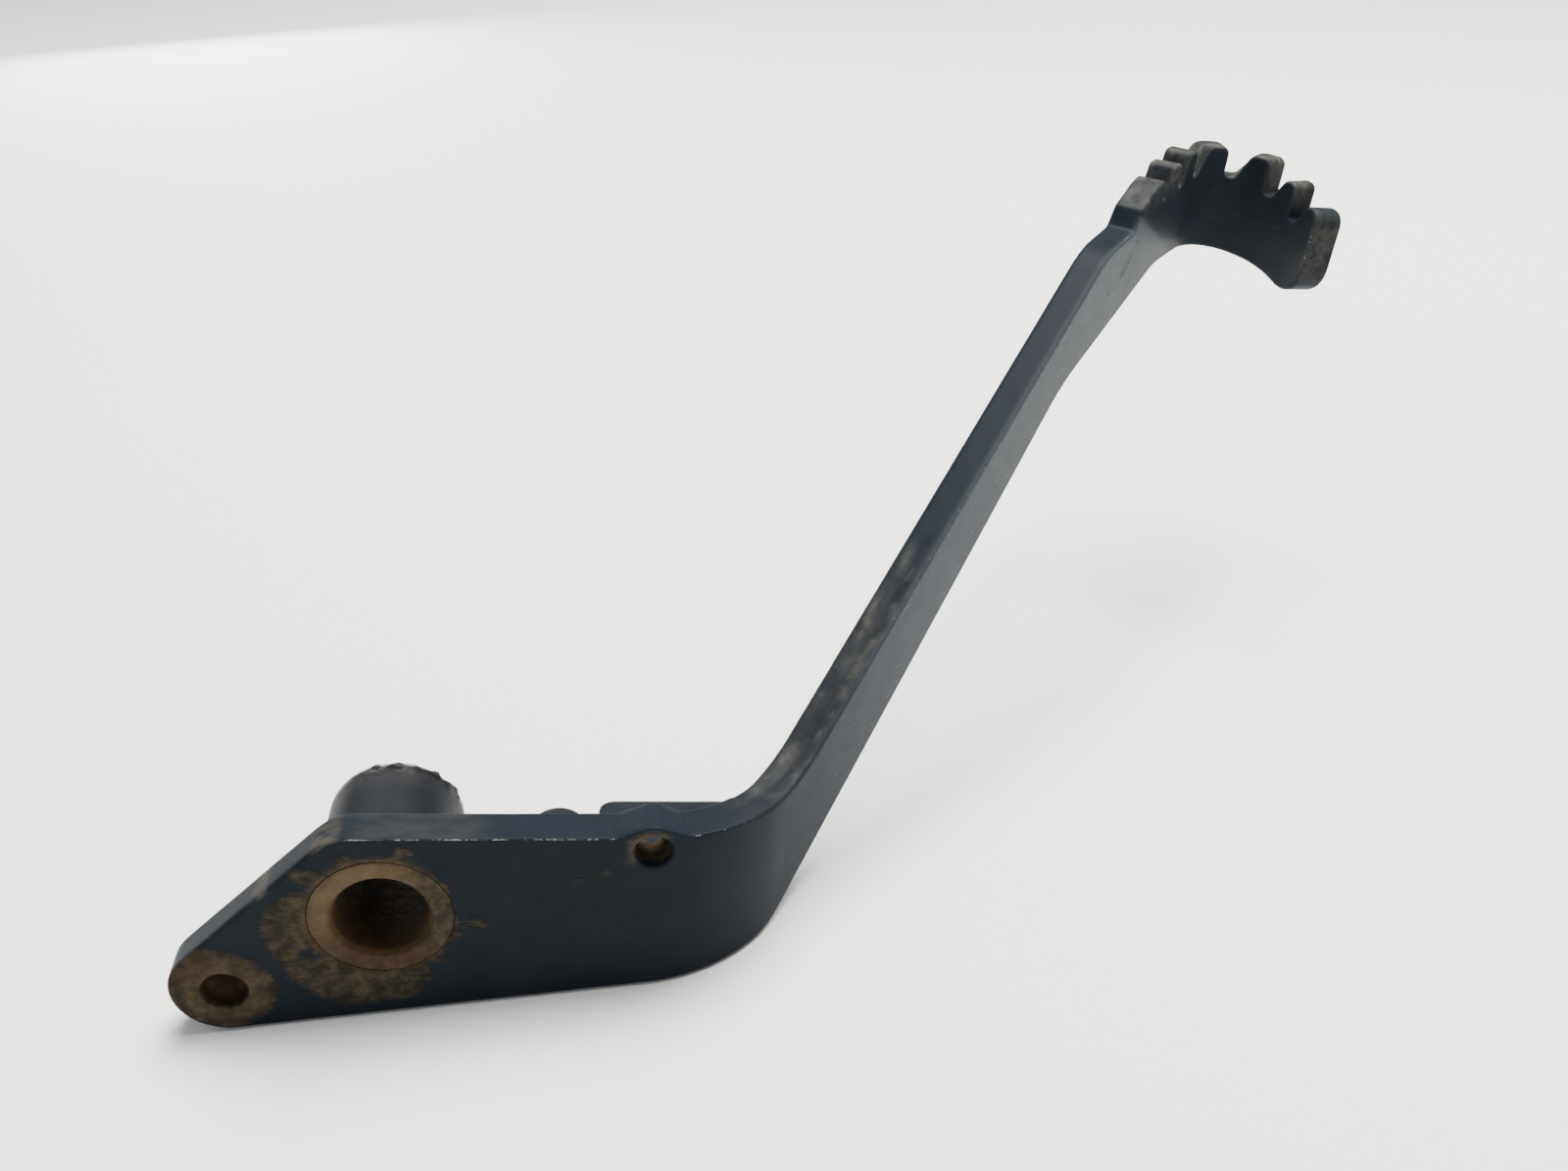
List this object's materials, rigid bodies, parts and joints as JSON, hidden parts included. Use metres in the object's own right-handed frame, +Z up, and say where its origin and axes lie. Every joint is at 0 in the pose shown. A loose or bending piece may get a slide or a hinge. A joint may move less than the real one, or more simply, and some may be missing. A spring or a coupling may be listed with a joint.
{
  "type": "motorcycle foot lever",
  "caption": "Bent steel foot lever with a plain welded pivot tube, a rod hole on a short rear arm and a serrated claw pad at the end of a long rising arm.",
  "frame": {"origin": "pivot axis at the outer face of the lever plate", "axes": "+Y along the pivot axis from the outer face towards the tube's far end, +X towards the claw, +Z up, with the plate's lower edge level"},
  "size_m": [0.2382, 0.1461, 0.0987],
  "materials": {
    "black_paint": "satin",
    "tube_paint": "gloss",
    "weld_paint": "satin"
  },
  "bodies": {
    "root": {"lever_strip": "black_paint", "pivot_tube": "tube_paint", "tube_weld": "weld_paint", "stop_tab": "black_paint", "tab_weld_upper": "weld_paint", "tab_weld_lower": "weld_paint", "spring_post": "black_paint", "post_weld": "weld_paint"}
  },
  "joints": []
}
